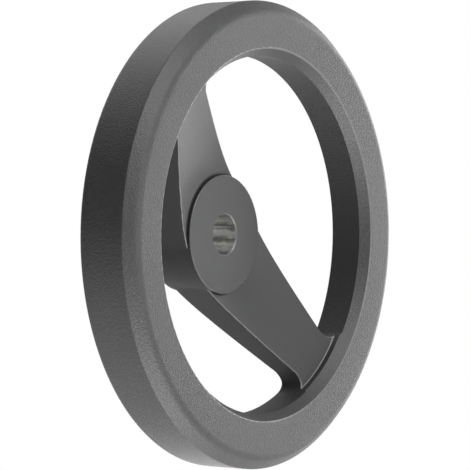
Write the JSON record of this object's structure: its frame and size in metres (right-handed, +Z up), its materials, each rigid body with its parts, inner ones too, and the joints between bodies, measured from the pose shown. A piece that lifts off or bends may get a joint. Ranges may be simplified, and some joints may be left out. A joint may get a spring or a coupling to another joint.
{
  "type": "machine handwheel",
  "caption": "Cast two-spoke handwheel with a bevelled solid rim, dished tapering spokes and a plain bored hub, coated black.",
  "frame": {"origin": "centre of the bore at the hub's back face", "axes": "+Y along the wheel's axis towards the machine, -Y out of the front face, +Z up as pictured"},
  "size_m": [0.16, 0.0383, 0.16],
  "materials": {
    "coating": "fine-textured satin black coating on cast aluminium"
  },
  "bodies": {
    "root": {"handwheel": "coating"}
  },
  "joints": []
}
